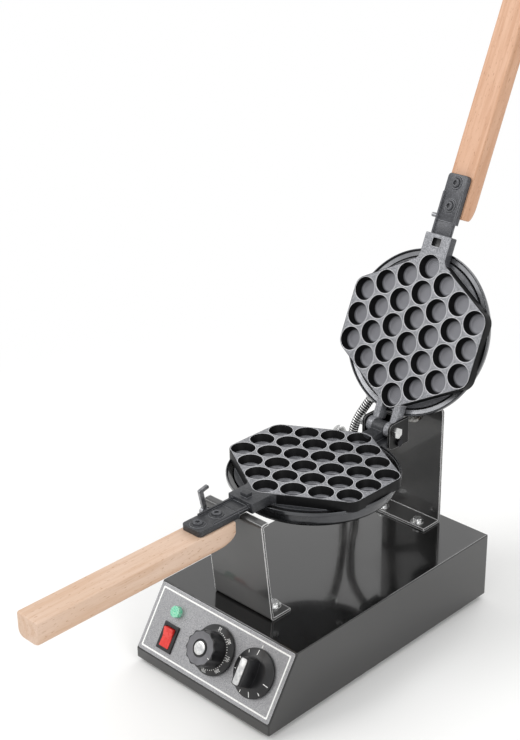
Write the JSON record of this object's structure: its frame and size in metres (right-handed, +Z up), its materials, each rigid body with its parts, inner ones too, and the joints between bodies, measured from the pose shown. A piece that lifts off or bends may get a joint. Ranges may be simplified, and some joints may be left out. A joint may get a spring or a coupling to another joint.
{
  "type": "egg waffle pan",
  "caption": "Tabletop bubble-waffle maker: hinged cell-patterned plates with wooden handles, turning in two stands on a box with a sloped control panel.",
  "frame": {"origin": "on the table under the middle of the machine's overall length and width, with the upper pan open", "axes": "+Z up, -Y towards the front with the control panel and the lower handle, +X to the right seen from the front"},
  "size_m": [0.2, 0.7262, 0.6579],
  "materials": {
    "black_sheet": "gloss",
    "panel_sheet": "brushed",
    "casting": "non-stick coated casting",
    "shell_sheet": "spun satin",
    "steel": "zinc plated",
    "chrome": "polished",
    "brass": "turned",
    "rubber": "matt",
    "black_plastic": "moulded satin",
    "red_plastic": "moulded gloss",
    "green_lens": "clear tinted",
    "white_plastic": "moulded",
    "beech": "clear lacquer",
    "fibre_board": "pressed mineral fibre"
  },
  "bodies": {
    "base": {"base_housing": "black_sheet", "bottom_cover": "black_sheet", "cover_screws": "steel", "rubber_feet": "rubber", "control_panel": "panel_sheet", "front_stand": "black_sheet", "rear_stand": "black_sheet", "stand_bolts": "steel", "swivel_bush": "brass", "pilot_lamp_body": "chrome", "pilot_lamp_lens": "green_lens", "switch_housing": "black_plastic", "thermostat_body": "black_plastic", "timer_body": "panel_sheet", "terminal_block": "white_plastic", "base_glands": "steel", "mains_gland": "black_plastic", "lower_conduit": "steel", "upper_conduit_foot": "steel"},
    "rocker": {"power_rocker": "red_plastic"},
    "temperature_dial": {"thermostat_knob": "black_plastic", "thermostat_knob_cap": "panel_sheet", "thermostat_spindle": "steel"},
    "timer_dial": {"timer_knob": "black_plastic", "timer_knob_insert": "panel_sheet", "timer_spindle": "steel"},
    "lower_pan": {"lower_plate": "casting", "lower_shell": "shell_sheet", "lower_heater": "steel", "lower_insulation": "fibre_board", "lower_shell_screws": "steel", "lower_handle": "beech", "lower_handle_bolts": "steel", "lower_gland": "steel", "hinge_clevis": "black_sheet", "swivel_shaft": "steel", "swivel_nut": "steel", "hinge_pin": "steel", "hinge_nut": "steel", "clevis_bolt": "steel", "latch_stud": "steel", "upper_conduit_top": "steel"},
    "latch": {"latch_lever": "steel"},
    "upper_pan": {"upper_plate": "casting", "upper_shell": "shell_sheet", "upper_heater": "steel", "upper_insulation": "fibre_board", "upper_shell_screws": "steel", "upper_handle": "beech", "upper_handle_bolts": "steel", "upper_gland": "steel", "latch_peg": "steel"}
  },
  "joints": [
    {"name": "pan_flip", "type": "hinge", "parent": "base", "child": "lower_pan", "pos_m": [0, 0.12859, 0.214], "axis": [0, 1, 0], "range_deg": [-90, 90], "deforming": ["lower_conduit", "upper_conduit_foot"]},
    {"name": "pan_lid", "type": "hinge", "parent": "lower_pan", "child": "upper_pan", "pos_m": [0, 0.12859, 0.214], "axis": [1, 0, 0], "range_deg": [0, 114], "deforming": ["upper_conduit_top"]},
    {"name": "latch_swing", "type": "hinge", "parent": "lower_pan", "child": "latch", "pos_m": [-0.0182, -0.12541, 0.205], "axis": [1, 0, 0], "range_deg": [-31.5, 60]},
    {"name": "rocker_press", "type": "hinge", "parent": "base", "child": "rocker", "pos_m": [-0.063, -0.1435, 0.04016], "axis": [-1, 0, 0], "range_deg": [0, 16]},
    {"name": "temperature_turn", "type": "hinge", "parent": "base", "child": "temperature_dial", "pos_m": [0.002, -0.13554, 0.05108], "axis": [0, 0.8416, -0.5401], "range_deg": [0, 270]},
    {"name": "timer_turn", "type": "hinge", "parent": "base", "child": "timer_dial", "pos_m": [0.0605, -0.13554, 0.05108], "axis": [0, 0.8416, -0.5401], "range_deg": [0, 300]}
  ]
}
